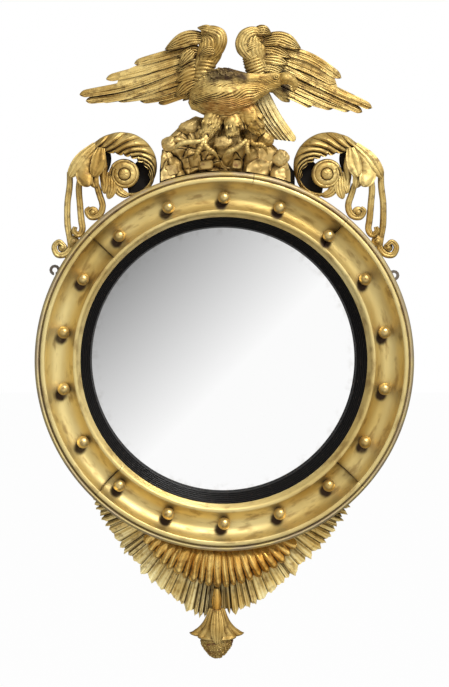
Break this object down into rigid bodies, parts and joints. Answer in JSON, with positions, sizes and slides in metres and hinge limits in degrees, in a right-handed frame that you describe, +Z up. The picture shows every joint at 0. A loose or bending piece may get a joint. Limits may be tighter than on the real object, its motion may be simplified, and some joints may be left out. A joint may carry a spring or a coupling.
{
  "type": "convex girandole mirror",
  "caption": "Round convex wall mirror in a carved gilt frame with gilt balls, a black reeded slip, an eagle crest, acanthus scrolls, a pleated apron and a pendant.",
  "frame": {"origin": "on the axis of the round frame, at the back face of the backboard, which lies against the wall", "axes": "+Z up, +Y into the wall, -Y towards the viewer, +X to the viewer's right"},
  "size_m": [0.6529, 0.0925, 1.0967],
  "materials": {
    "gilt_frame": "worn water gilding on turned wood",
    "gilt_carving": "worn gilding on carved wood",
    "warm_gilt": "orange-toned gilding on carved wood",
    "ebonised": "black lacquer on reeded wood",
    "black_paint": "matt black paint on sawn wood",
    "pine": "aged bare pine",
    "iron": "dark wrought iron",
    "silvered_glass": "convex silvered glass"
  },
  "bodies": {
    "root": {"apron_batten": "pine", "apron_frill_left": "gilt_carving", "apron_frill_right": "gilt_carving", "apron_shell": "warm_gilt", "back_ring_1": "pine", "back_ring_2": "pine", "back_ring_3": "pine", "back_ring_4": "pine", "backboard_left": "pine", "backboard_middle": "pine", "backboard_right": "pine", "ball_01": "gilt_frame", "ball_02": "gilt_frame", "ball_03": "gilt_frame", "ball_04": "gilt_frame", "ball_05": "gilt_frame", "ball_06": "gilt_frame", "ball_07": "gilt_frame", "ball_08": "gilt_frame", "ball_09": "gilt_frame", "ball_10": "gilt_frame", "ball_11": "gilt_frame", "ball_12": "gilt_frame", "ball_13": "gilt_frame", "ball_14": "gilt_frame", "ball_15": "gilt_frame", "ball_16": "gilt_frame", "ball_17": "gilt_frame", "ball_18": "gilt_frame", "crest_batten": "pine", "crest_block": "black_paint", "eagle_body": "gilt_carving", "eagle_tail": "gilt_carving", "eagle_wing_left": "gilt_carving", "eagle_wing_right": "gilt_carving", "ebonised_slip": "ebonised", "frame_segment_1": "gilt_frame", "frame_segment_2": "gilt_frame", "frame_segment_3": "gilt_frame", "frame_segment_4": "gilt_frame", "hanging_plate_left": "iron", "hanging_plate_right": "iron", "hood_leaf_left": "gilt_carving", "hood_leaf_right": "gilt_carving", "mirror_glass": "silvered_glass", "pendant_bud": "warm_gilt", "pendant_leaves": "warm_gilt", "plate_screw_left_1": "iron", "plate_screw_left_2": "iron", "plate_screw_right_1": "iron", "plate_screw_right_2": "iron", "rockwork": "gilt_carving", "scroll_left": "gilt_carving", "scroll_right": "gilt_carving", "tendril_inner_left": "gilt_carving", "tendril_inner_right": "gilt_carving", "tendril_middle_left": "gilt_carving", "tendril_middle_right": "gilt_carving", "tendril_outer_left": "gilt_carving", "tendril_outer_right": "gilt_carving"}
  },
  "joints": []
}
